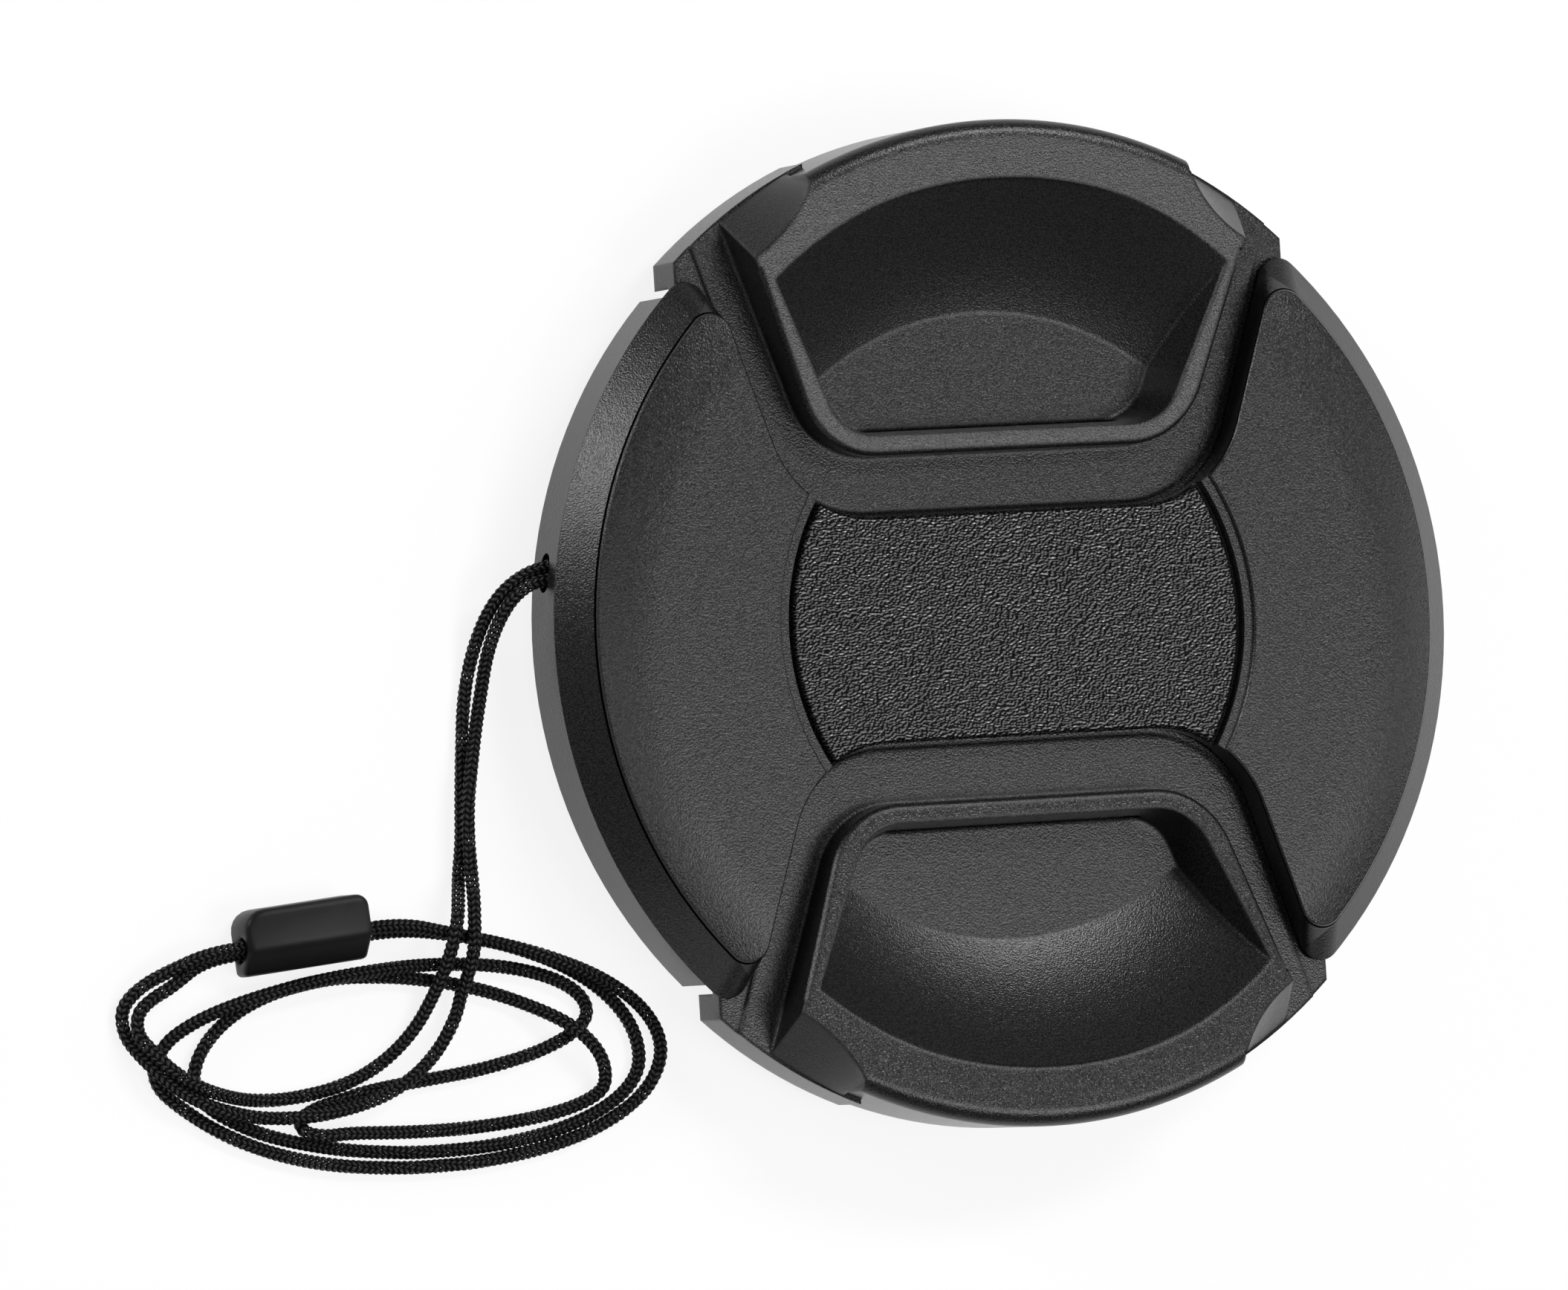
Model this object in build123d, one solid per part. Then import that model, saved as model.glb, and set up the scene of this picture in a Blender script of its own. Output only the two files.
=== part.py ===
from build123d import *
import math
import os

os.makedirs("parts", exist_ok=True)

# Filter thread that the cap snaps into
thread_radius = 38.5

# Heights, from the bottom of the spigot
spigot_depth = 2.4
rim_height = 4.75
chamfer_rise = 2.86
rim_back = spigot_depth
shoulder = rim_back + rim_height
panel_top = shoulder + chamfer_rise

# Front cover
rim_lap = 1.5
rim_radius = thread_radius + rim_lap
rim_wall = 1.5
chamfer_run = 2.57
panel_radius = rim_radius - chamfer_run
skin = 1.5
tip_base_radius = 1.85
tip_top_radius = 1.9
panel_step = 0.25
panel_base = panel_top - panel_step
panel_bevel = 0.15
hub_radius = 21.2
ring_width = 0.75
ring_drop = 0.35
bridge_gap = 0.3
bridge_thickness = 1.1
bridge_under = shoulder + bridge_gap
bridge_top = bridge_under + bridge_thickness

# Latch windows: half widths are given at one station along Y
station = 22.0
window_edge = 9.2
window_half = 23.0
window_slope = 0.333
window_corner = 9.3
beyond = 60.0

# Centre plate
plate_gap = 0.45
plate_radius = hub_radius - ring_width - plate_gap
plate_thickness = 0.95
plate_bevel = 0.25

# Latches
stand_out = 1.5
travel = 2.5
slide_gap = 0.2
band_top = shoulder - slide_gap
band_step = 0.25
band_gap = 0.45
flange_thickness = 1.4
flange_lap = 0.8
flange_edge = 6.2
flange_corner = 5.0
flange_top = band_top - band_step
flange_under = flange_top - flange_thickness
ear_half = 27.3
ear_length = 2.34
ear_gap = 0.5
ear_relief = 0.3
notch_half = 15.5
notch_step = 0.35

# Finger frame
frame_edge = 14.2
frame_half = 19.0
frame_slope = 0.354
frame_corner = 6.8
frame_height = 7.86
frame_level = rim_back + frame_height
frame_rise = 0.113
frame_end_inset = 3.5
frame_turn_half = 17.1
frame_turn_inset = 1.23
frame_hollow = 0.6
frame_round = 1.3
frame_bevel = 0.3
corner_root = 1.0

# Finger well
well_edge = 15.67
well_half = 17.25
well_slope = 0.403
well_corner = 5.0
well_floor_corner = 4.0
well_draft = 0.364
well_bar_draft = 0.15
well_floor_height = 3.0
well_floor = rim_back + well_floor_height
well_base = 1.3
well_under = well_floor - well_base
well_bar = 5.2
well_reach = rim_radius - well_bar
well_slope_run = 10.6
well_crease = well_reach - well_slope_run
well_rise = 6.25
well_sag = 0.6
slot_width = 0.5
slot_half = 11.5
slot_depth = 0.8

# Thread claws
claw_play = 0.6
claw_radius = thread_radius - claw_play
claw_wall = 1.2
claw_half = 15.0
claw_drop = 1.9
claw_tooth = 0.3
claw_pitch = 0.75
claw_count = 2
claw_root = 0.1

# Back cover
floor_thickness = 0.9
floor_top = rim_back + floor_thickness
seat_gap = 0.2
spigot_play = 1.3
spigot_radius = thread_radius - spigot_play
spigot_wall = 1.2
claw_room = 0.8
side_gap = 0.3
keel_half = 3.0
keel_start = 15.0
keel_end = 24.0
keel_drop = 0.6
rail_wall = 1.0
stop_half = 8.0
stop_wall = 0.8
lip_wall = 1.0

# Springs
spring_x = 12.0
spring_lift = 1.45
spring_z = floor_top + spring_lift
spring_radius = 1.3
spring_wire = 0.4
spring_turns = 5
spring_sides = 4
pocket_gap = 0.2
pocket_depth = 2.5
pocket_wall = 0.7
spring_end_gap = 0.1
spring_length = 2 * (flange_edge + pocket_depth - spring_end_gap)
cradle_wall = 0.8
cradle_gap = 0.5
cradle_half = flange_edge - travel - cradle_gap

# Posts that carry the back cover
post_inset = 9.0
post_x = rim_radius - post_inset
post_y = 11.0
post_radius = 1.6

# Leash
cord_diameter = 1.1
cord_radius = cord_diameter / 2
cord_sides = 10
cord_bury = 0.4
cord_clear = 0.02
cord_lie = cord_radius + cord_clear
strand_spacing = 1.5
hole_y = 6.15
hole_height = 2.4
hole_z = rim_back + hole_height
hole_length = 3.2
hole_width = 1.7
anchor_inset = 2.4
anchor_face = anchor_inset - rim_radius
anchor_depth = 2.5
anchor_width = 4.4
coil_height = 2.6
outer_route = [
    (anchor_face + cord_bury, hole_y + strand_spacing / 2, hole_z),
    (-41.9, 6.8, hole_z - 0.1),
    (-44.9, 3.2, 2.4),
    (-46.3, -1.4, cord_lie),
    (-46.8, -7.5, cord_lie),
    (-47.1, -14.5, cord_lie),
    (-47.7, -22.4, cord_lie),
]
inner_route = [
    (anchor_face + cord_bury, hole_y - strand_spacing / 2, hole_z),
    (-41.9, 5.3, hole_z - 0.1),
    (-44.0, 1.5, 2.6),
    (-44.8, -3.0, cord_lie),
    (-45.2, -8.8, cord_lie),
    (-45.5, -15.2, cord_lie),
    (-45.8, -22.8, cord_lie),
]
coil_x = -53.0
coil_y = -31.2
coil_length = 48.0
coil_width = 20.6
coil_turn = -8.0
eye_x = -53.5
eye_y = -30.4
eye_length = 29.0
eye_width = 6.0

# Cord lock
lock_x = -61.35
lock_y = -21.85
lock_turn = 5.0
lock_length = 10.8
lock_width = 5.3
lock_height = 4.0
lock_round = 0.7
lock_front_round = 1.9
lock_end_bevel = 0.5
lock_travel = 3.0
lock_gap = 0.4
bore_gap = 0.3
bore_spacing = 1.2
bore_lean = 65.0
bore_shift = -0.5

# Points on the upper latch that several pieces share
latch_centre = Vector(0, stand_out)
side_way = Vector(frame_slope, 1).normalized()


def at_height(face, bottom, top):
    """Raise a flat face into a solid between two heights."""
    return extrude(Pos(0, 0, bottom) * face, top - bottom, dir=(0, 0, 1))


def box(x_range, y_range, z_range):
    """Box between three pairs of limits."""
    size = [high - low for low, high in (x_range, y_range, z_range)]
    centre = [(high + low) / 2 for low, high in (x_range, y_range, z_range)]
    return Pos(*centre) * Box(*size)


def tray(edge, half, slope, corner):
    """Face with a straight inner edge and two sides that spread towards the rim."""
    near = half + slope * (edge - station)
    far = half + slope * (beyond - station)
    face = make_face(Polyline((-near, edge), (near, edge), (far, beyond), (-far, beyond), close=True))
    return fillet(face.vertices().sort_by(Axis.Y)[:2], corner)


def window(grow=0.0):
    """Opening for one latch, made larger all round by grow."""
    widen = grow * math.hypot(1, window_slope)
    return tray(window_edge - grow, window_half + widen, window_slope, window_corner)


def both_ways(face):
    """The face and its mirror image across the XZ plane."""
    return face + mirror(face, Plane.XZ)


def wing_faces(outer, tip, grow=0.0):
    """Outlines of the two wings, with rounded tips, cut back all round by grow."""
    blank = Circle(outer) - Circle(hub_radius + grow) - both_ways(window(grow))
    by_height = blank.vertices().sort_by(Axis.Y)
    return fillet(by_height[:2] + by_height[-2:], tip).faces().sort_by(Axis.X)


def about_latch(radius):
    """Disc about the centre of the upper latch's rim."""
    return Pos(0, stand_out) * Circle(radius)


def strip(half, start):
    """Face between two lines along Y, from a start towards the rim."""
    return Pos(0, (start + beyond) / 2) * Rectangle(2 * half, beyond - start)


def frame_z(y):
    """Height of the finger frame's top, which rises towards the rim."""
    return frame_level + frame_rise * (y - station)


def side_point(radius):
    """Where the frame's slanted side, drawn on, meets a circle about the latch's centre."""
    start = Vector(frame_half, station) - latch_centre
    along = start.dot(side_way)
    reach = math.sqrt(along**2 - start.length**2 + radius**2) - along
    return latch_centre + start + side_way * reach


def arc_point(x, radius):
    """Point at a distance from the middle, on a circle about the latch's centre."""
    return latch_centre + Vector(x, math.sqrt(radius**2 - x**2))


def frame_point(point):
    """The point raised to the finger frame's top."""
    return Vector(point.X, point.Y, frame_z(point.Y))


def tube(route):
    """Round cord along straight runs joined by tangent arcs."""
    runs = [Vector(*end) - Vector(*start) for start, end in zip(route, route[1:])]
    radii = []
    for before, after in zip(runs, runs[1:]):
        half_turn = math.radians(before.get_angle(after)) / 2
        radii.append(0.45 * min(before.length, after.length) / math.tan(half_turn))
    print("bend radii", [round(radius, 1) for radius in radii])
    path = FilletPolyline(*route, radius=radii)
    section = Plane(origin=path @ 0, z_dir=path % 0) * RegularPolygon(cord_radius, cord_sides)
    return sweep(section, path=path)


# Front cover: two chamfered wings on a rim wall, joined by a bridge
wings = Part()
for base, top in zip(wing_faces(rim_radius, tip_base_radius), wing_faces(panel_radius, tip_top_radius)):
    wings += loft([Pos(0, 0, shoulder) * base, Pos(0, 0, panel_base) * top], ruled=True)
    panel = at_height(top, panel_base, panel_top)
    wings += chamfer(panel.faces().sort_by(Axis.Z)[-1].edges(), panel_bevel)
for hollow in wing_faces(panel_radius - skin, tip_top_radius / 2, skin):
    wings -= at_height(hollow, shoulder - 1, panel_top - skin)
bridge = at_height(Circle(hub_radius + skin) - both_ways(window()), bridge_under, bridge_top)
ring_face = Circle(hub_radius + skin / 2) - Circle(hub_radius - ring_width) - both_ways(window())
bridge += at_height(ring_face, bridge_top, panel_top - ring_drop)
rim = at_height(Circle(rim_radius) - Circle(rim_radius - rim_wall), rim_back, shoulder)
ear_start = arc_point(ear_half, rim_radius).Y - ear_length
rim -= at_height(both_ways(strip(beyond, ear_start - ear_gap)), 0, shoulder)
rim -= at_height(both_ways(strip(ear_half + ear_relief, ear_start - travel - ear_relief)), 0, shoulder)
hole = SlotOverall(hole_length, hole_width)
rim -= extrude(Plane.YZ.offset(-rim_radius - 1) * Pos(hole_y, hole_z) * hole, 2 * rim_wall + 1)
post = at_height(Circle(post_radius), floor_top, panel_top - skin / 2)
posts = [Pos(x, y) * post for x in (-post_x, post_x) for y in (-post_y, post_y)]
anchor = box(
    (anchor_face, anchor_face + anchor_depth),
    (hole_y - anchor_width / 2, hole_y + anchor_width / 2),
    (floor_top, shoulder + skin),
)
front_cover = wings + bridge + rim + posts + anchor

# Centre plate, seated on the bridge
plate = at_height(Circle(plate_radius) - both_ways(window()), bridge_top, bridge_top + plate_thickness)
centre_plate = chamfer(plate.faces().sort_by(Axis.Z)[-1].edges(), plate_bevel)

# Upper latch: flange, raised band and rim wall
rim_disc = about_latch(rim_radius)
ears = strip(ear_half, ear_start)
flange_half = window_half + flange_lap
flange_face = (tray(flange_edge, flange_half, window_slope, flange_corner) + ears) & rim_disc
latch = at_height(flange_face, flange_under, flange_top)
latch += at_height(window(-band_gap) & rim_disc, flange_top, band_top)
latch += at_height((rim_disc - about_latch(rim_radius - rim_wall)) & ears, rim_back, flange_top)

# Finger frame with an inclined top
frame_end = side_point(rim_radius - frame_end_inset)
frame_turn = arc_point(frame_turn_half, rim_radius - frame_turn_inset)
across = (frame_turn - frame_end).normalized()
outward = Vector(across.Y, -across.X)
frame_middle = (frame_end + frame_turn) * 0.5 - outward * frame_hollow
corner_face = make_face([
    ThreePointArc(frame_end, frame_middle, frame_turn),
    Polyline(frame_turn, (frame_turn.X, beyond), (beyond, beyond), (beyond, frame_end.Y), frame_end),
])
corners = corner_face + mirror(corner_face, Plane.YZ)
frame_face = tray(frame_edge, frame_half, frame_slope, frame_corner) & about_latch(rim_radius - notch_step)
frame = at_height(frame_face - corners, well_under, frame_z(beyond))
top_plane = Plane(origin=(0, station, frame_level), x_dir=(1, 0, 0), z_dir=(0, -frame_rise, 1))
frame = split(frame, top_plane, keep=Keep.BOTTOM)
frame_top = frame.faces().sort_by(Axis.Z)[-1]
shoulder_edge = frame_top.edges().sort_by(Axis.Y)[-1]
frame = fillet(shoulder_edge, frame_round)
frame_top = frame.faces().filter_by(top_plane).sort_by(Axis.Z)[-1]
frame = chamfer(frame_top.edges().sort_by(Axis.Y)[:5], frame_bevel)

# Sloping corners between the frame and the rim
rim_foot = side_point(rim_radius)
rim_turn = arc_point(frame_turn_half, rim_radius)
rim_middle = latch_centre + (rim_foot + rim_turn - latch_centre * 2).normalized() * rim_radius
frame_root = frame_end - side_way * corner_root
turn_root = frame_turn - Vector(0, corner_root)
foot_face = make_face([
    Line(frame_root, rim_foot),
    ThreePointArc(rim_foot, rim_middle, rim_turn),
    Polyline(rim_turn, turn_root, frame_root),
])
crest = [frame_point(point) for point in (frame_end, frame_middle, frame_turn)]
crest_face = make_face([
    Line(frame_point(frame_root), crest[0]),
    ThreePointArc(*crest),
    Polyline(crest[2], frame_point(turn_root), frame_point(frame_root)),
])
patch = loft([Pos(0, 0, flange_top) * foot_face, crest_face], ruled=True)

# Finger well
well_top = frame_z(rim_radius + stand_out)
lift = well_top - frame_level
sink = well_floor - frame_level
well_sections = []
for height, corner in ((sink, well_floor_corner), (lift, well_corner)):
    section = tray(well_edge - well_bar_draft * height, well_half + well_draft * height, well_slope, corner)
    well_sections.append(Pos(0, 0, frame_level + height) * section)
well = loft(well_sections, ruled=True)
slope_end = (well_reach, well_floor + well_rise)
slope_middle = ((well_crease + well_reach) / 2, well_floor + well_rise / 2 - well_sag)
slope_face = make_face([
    Polyline((0, well_top), (0, well_floor), (well_crease, well_floor)),
    ThreePointArc((well_crease, well_floor), slope_middle, slope_end),
    Polyline(slope_end, (well_reach, well_top), (0, well_top)),
])
scoop = Pos(0, stand_out) * revolve(Plane.XZ * slope_face, Axis.Z)
slot_y = well_edge - well_bar_draft * sink
slot = box((-slot_half, slot_half), (slot_y - slot_width, slot_y), (well_floor - slot_depth, well_floor + 1))

# Claws that hook under the filter thread
claw_bottom = rim_back - claw_drop
claw_outline = [
    (claw_radius - claw_wall, claw_bottom),
    (claw_radius - claw_tooth, claw_bottom),
]
for tooth in range(claw_count):
    root = claw_bottom + claw_tooth + tooth * claw_pitch
    claw_outline.append((claw_radius - claw_tooth, root))
    claw_outline.append((claw_radius, root + claw_tooth))
    claw_outline.append((claw_radius - claw_tooth, root + 2 * claw_tooth))
claw_outline.append((claw_radius - claw_tooth, rim_back))
claw_outline.append((rim_radius - notch_step, rim_back))
claw_outline.append((rim_radius - notch_step, well_under + claw_root))
claw_outline.append((claw_radius - claw_wall, well_under + claw_root))
claw_ring = revolve(Plane.XZ * make_face(Polyline(*claw_outline, close=True)), Axis.Z)
claw_reach = box((-claw_half, claw_half), (0, beyond), (0, shoulder))
claws = (Pos(0, stand_out) * claw_ring) & claw_reach

# Keel, end stop and spring pockets under the latch
keel = box((-keel_half, keel_half), (keel_start, keel_end), (well_under - keel_drop, well_under))
stop_bottom = floor_top + slide_gap
lip = box((-stop_half, stop_half), (flange_edge, flange_edge + lip_wall), (stop_bottom, flange_under))
pocket_radius = spring_radius + pocket_gap
pocket_half = pocket_radius + pocket_wall
pocket_end = flange_edge + pocket_depth
pocket = box((-pocket_half, pocket_half), (flange_edge, pocket_end + pocket_wall), (stop_bottom, flange_under))
bore = Pos(0, pocket_end, spring_z) * Rot(90, 0, 0) * Cylinder(
    pocket_radius, pocket_end, align=(Align.CENTER, Align.CENTER, Align.MIN)
)
latch += [frame, patch, mirror(patch, Plane.YZ)]
notch_face = (about_latch(rim_radius + 1) - about_latch(rim_radius - notch_step)) & strip(notch_half, 0)
latch -= at_height(notch_face, 0, frame_z(beyond))
latch -= [well & scoop, slot]
latch += [claws, keel, lip]
latch += [Pos(x) * pocket for x in (-spring_x, spring_x)]
latch -= [Pos(x) * bore for x in (-spring_x, spring_x)]
upper_latch = latch
lower_latch = mirror(latch, Plane.XZ)

# Back cover: floor, spigot ring and the guides of the latches
floor_reach = rim_radius - rim_wall - seat_gap
floor_face = Circle(floor_reach)
for way in (-1, 1):
    floor_face &= Pos(0, way * (stand_out - travel)) * Circle(floor_reach - side_gap)
back_cover = at_height(floor_face, rim_back, floor_top)
back_cover += at_height(Circle(spigot_radius) - Circle(spigot_radius - spigot_wall), 0, rim_back)
claw_side = math.sqrt((claw_radius - claw_wall) ** 2 - claw_half**2)
claw_window = strip(claw_half + claw_room, claw_side + stand_out - travel - claw_room)
back_cover -= at_height(both_ways(claw_window), 0, floor_top)
rail_x = keel_half + side_gap
stop_y = flange_edge + lip_wall + side_gap
guides = [
    box((rail_x, rail_x + rail_wall), (stop_y, keel_end), (floor_top, well_under - slide_gap)),
    box((-rail_x - rail_wall, -rail_x), (stop_y, keel_end), (floor_top, well_under - slide_gap)),
    box((-stop_half, stop_half), (stop_y, stop_y + stop_wall), (floor_top, flange_under - slide_gap)),
]
back_cover += guides
back_cover += [mirror(guide, Plane.XZ) for guide in guides]
cradle_x = pocket_radius + cradle_wall
for x in (-spring_x, spring_x):
    for low in (-cradle_x, pocket_radius):
        back_cover += box((x + low, x + low + cradle_wall), (-cradle_half, cradle_half), (floor_top, spring_z))

# Springs between the two latches
coil_radius = spring_radius - spring_wire / 2
spring_rise = spring_length - spring_wire
helix = Helix(spring_rise / spring_turns, spring_rise, coil_radius)
wire_section = Plane(origin=helix @ 0, z_dir=helix % 0) * RegularPolygon(spring_wire / 2, spring_sides)
coil_spring = Pos(0, 0, -spring_rise / 2) * sweep(wire_section, path=helix, is_frenet=True)
springs = [Pos(x, 0, spring_z) * Rot(90, 0, 0) * coil_spring for x in (-spring_x, spring_x)]

# Leash strands from the anchor to the coil
outer_strand = tube(outer_route)
inner_strand = tube(inner_route)

# Cord lock and the two strands that run through it
lock_place = Pos(lock_x, lock_y, lock_height / 2) * Rot(0, 0, lock_turn)
lock_block = Box(lock_length, lock_width, lock_height)
front_edge = lock_block.edges().filter_by(Axis.X).group_by(Axis.Y)[0].sort_by(Axis.Z)[-1]
lock_block = fillet(front_edge, lock_front_round)
lock_edges = lock_block.edges().filter_by(Axis.X)
sharp_edges = lock_edges.group_by(Axis.Y)[-1] + lock_edges.group_by(Axis.Z)[0].sort_by(Axis.Y)[:1]
lock_body = fillet(sharp_edges, lock_round)
lock_ends = lock_body.faces().filter_by(Axis.X)
lock_body = chamfer([edge for face in lock_ends for edge in face.edges()], lock_end_bevel)
bore_width = cord_diameter + 2 * bore_gap
lock_bore = Pos(bore_shift) * Rot(0, 0, bore_lean) * SlotOverall(bore_spacing + bore_width, bore_width)
lock_body -= extrude(Plane.YZ * lock_bore, lock_length, both=True)
cord_lock = lock_place * lock_body
clear_length = lock_length + 2 * (lock_travel + lock_gap)
lock_strand = Rot(0, 90, 0) * Cylinder(cord_radius, clear_length + 2 * cord_bury)
bore_way = Vector(0, bore_spacing / 2, 0).rotate(Axis.X, bore_lean)
bore_middle = Vector(0, bore_shift)
upper_lock_strand = lock_place * Pos(bore_middle + bore_way) * lock_strand
lower_lock_strand = lock_place * Pos(bore_middle - bore_way) * lock_strand

# Coil of the leash, open where the lock rides
coil_face = Pos(coil_x, coil_y) * Ellipse(coil_length / 2, coil_width / 2, rotation=coil_turn)
coil_face -= Pos(eye_x, eye_y) * Ellipse(eye_length / 2, eye_width / 2, rotation=coil_turn)
lock_room = lock_width + 2 * lock_gap
coil_face -= Pos(lock_x, lock_y) * Rot(0, 0, lock_turn) * Rectangle(clear_length, lock_room)
leash_coil = at_height(coil_face, 0, coil_height)

nodes = {
    "back_cover": back_cover,
    "front_cover": front_cover,
    "centre_plate": centre_plate,
    "upper_latch": upper_latch,
    "lower_latch": lower_latch,
    "left_spring": springs[0],
    "right_spring": springs[1],
    "outer_strand": outer_strand,
    "inner_strand": inner_strand,
    "upper_lock_strand": upper_lock_strand,
    "lower_lock_strand": lower_lock_strand,
    "leash_coil": leash_coil,
    "cord_lock": cord_lock,
}
for name, shape in nodes.items():
    export_step(shape, f"parts/{name}.step")
    print(name, len(shape.solids()), round(shape.volume, 1))
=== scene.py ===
# %% [markdown]
# A camera lens cap lies on its back with its face up, and its leash lies beside it in loose turns. This
# lesson adds what only a picture needs: the knitted leash, the satin bead on it, coils for the springs,
# the finishes, the light and the camera. All lengths in Blender are metres, so a small helper turns
# millimetres into metres.

# %% Load the cap
import math

import bpy
from mathutils import Matrix, Vector


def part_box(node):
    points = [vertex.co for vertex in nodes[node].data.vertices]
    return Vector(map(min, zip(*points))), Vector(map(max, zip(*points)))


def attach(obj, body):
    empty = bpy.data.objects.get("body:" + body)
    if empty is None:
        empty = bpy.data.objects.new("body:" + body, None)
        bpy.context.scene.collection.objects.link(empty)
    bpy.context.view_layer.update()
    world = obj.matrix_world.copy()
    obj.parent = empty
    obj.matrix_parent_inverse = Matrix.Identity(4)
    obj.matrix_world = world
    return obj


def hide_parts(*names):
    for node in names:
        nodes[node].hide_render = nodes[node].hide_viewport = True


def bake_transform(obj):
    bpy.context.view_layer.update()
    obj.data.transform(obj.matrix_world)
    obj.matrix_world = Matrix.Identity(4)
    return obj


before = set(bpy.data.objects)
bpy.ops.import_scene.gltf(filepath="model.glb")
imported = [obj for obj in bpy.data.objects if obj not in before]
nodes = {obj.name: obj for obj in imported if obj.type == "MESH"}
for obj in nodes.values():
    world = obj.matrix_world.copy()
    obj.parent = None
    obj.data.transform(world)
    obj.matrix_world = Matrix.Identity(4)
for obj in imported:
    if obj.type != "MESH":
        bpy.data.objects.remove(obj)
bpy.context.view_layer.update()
MM = 0.001


def mm(*values):
    """A point given in millimetres."""
    return Vector(values) * MM


# %% [markdown]
# The camera comes first, because every later choice is judged through it.
# The cap could be framed by eye, but the photograph fixes the view: the rim, the hub and the finger
# frames each give a curve whose shape depends on where the camera stood.
# It stood about a metre away, a little to the left of straight above, with a long lens.

# %% Camera
camera_place = mm(-439.87, -24.08, 969.12)
towards_camera = Vector((-0.40003, -0.02224, 0.91623)).normalized()
upwards = Vector((0.04860, 0.99778, 0.04543))
camera_lens = 296.73
cap_middle = mm(0, 0, 5)


def posed(place, right, up, back):
    """Matrix of a camera or lamp that stands at a place and looks away from its back."""
    return Matrix.Translation(place) @ Matrix((right, up, back)).transposed().to_4x4()


camera_right = upwards.cross(towards_camera).normalized()
camera_up = towards_camera.cross(camera_right)
camera_data = bpy.data.cameras.new("studio_camera")
camera_data.sensor_fit = "HORIZONTAL"
camera_data.sensor_width = 36.0
camera_data.lens = camera_lens
camera_data.clip_start = 0.01
camera_data.clip_end = 100.0
camera = bpy.data.objects.new("studio_camera", camera_data)
camera.matrix_world = posed(camera_place, camera_right, camera_up, towards_camera)
bpy.context.scene.collection.objects.link(camera)
bpy.context.scene.camera = camera
print("camera", round((camera_place - cap_middle).length, 3), "m from the cap")

# %% [markdown]
# The leash is one thin cord. Both its ends go into the oblong hole in the rim, and a bead slides on
# the doubled part. A physics run could drop a cord on the floor, but it would never land as the
# photograph shows it. So its middle line is a smooth spline that points lead along: those of the two
# strands by the cap are listed, and a loop works out those of the loose turns, each four quarter
# ellipses about a centre of its own. Where one strand lies on another, its points are lifted by about
# a cord's thickness.

# %% Loose turns of the leash
cord_diameter = 1.1
# Height of the cord's middle where it lies on the floor
lie = 0.58


def height_at(angle, heights):
    """Height along a turn, by straight steps between the given angles."""
    for (first, low), (last, high) in zip(heights, heights[1:]):
        if min(first, last) <= angle <= max(first, last):
            return low + (high - low) * (angle - first) / (last - first)
    return heights[-1][1]


def loose_turn(centre, left, right, up, down, tilt, count, heights):
    """Points on one turn; heights holds pairs of an angle and a height, from its start to its end."""
    lean = math.radians(tilt)
    start, end = heights[0][0], heights[-1][0]
    points = []
    for step in range(count):
        angle = start + (end - start) * step / (count - 1)
        swing = math.radians(angle)
        along = math.cos(swing) * (right if math.cos(swing) > 0 else left)
        across = math.sin(swing) * (up if math.sin(swing) > 0 else down)
        points.append((
            centre[0] + along * math.cos(lean) - across * math.sin(lean),
            centre[1] + along * math.sin(lean) + across * math.cos(lean),
            height_at(angle, heights),
        ))
    return points


inner_lap = loose_turn(
    (-61.0, -23.9), left=15.5, right=12.0, up=2.9, down=10.6, tilt=16, count=11,
    heights=[(-50, 0.8), (-63, lie), (-120, lie), (-134, 2.1), (-145, 2.4), (-160, 2.5), (-168, 2.2)])
outer_lap = loose_turn(
    (-59.6, -23.3), left=17.7, right=12.8, up=4.5, down=12.7, tilt=16.5, count=14,
    heights=[(190, 0.9), (200, 1.9), (230, 1.9), (240, 1.1), (250, 1.85), (290, 1.85), (317, 1.4)])
short_turn = loose_turn(
    (-52.6, -30.1), left=21.0, right=16.3, up=5.25, down=4.1, tilt=2.8, count=16,
    heights=[(-84, lie), (76, lie), (92, 1.8), (130, 1.8), (148, lie), (158, lie)])
fallen_turn = loose_turn(
    (-55.9, -34.1), left=15.2, right=20.6, up=8.7, down=4.0, tilt=-3.3, count=18,
    heights=[(178, lie), (44, lie), (32, 2.1), (10, 2.1), (-8, lie), (-64, lie), (-80, 1.4), (-98, 1.6)])
inner_ring = loose_turn(
    (-52.7, -32.3), left=20.3, right=20.8, up=10.3, down=7.6, tilt=-3.3, count=14,
    heights=[(80, 0.8), (72, lie), (-128, lie)])
outer_ring = loose_turn(
    (-55.9, -30.3), left=19.7, right=26.1, up=8.9, down=10.6, tilt=-6, count=15,
    heights=[(216, lie), (378, lie), (396, 1.8), (424, 1.85), (436, 2.05)])
turns = (inner_lap, outer_lap, short_turn, fallen_turn, inner_ring, outer_ring)
print("turns", len(turns), "with", sum(len(turn) for turn in turns), "points")
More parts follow.
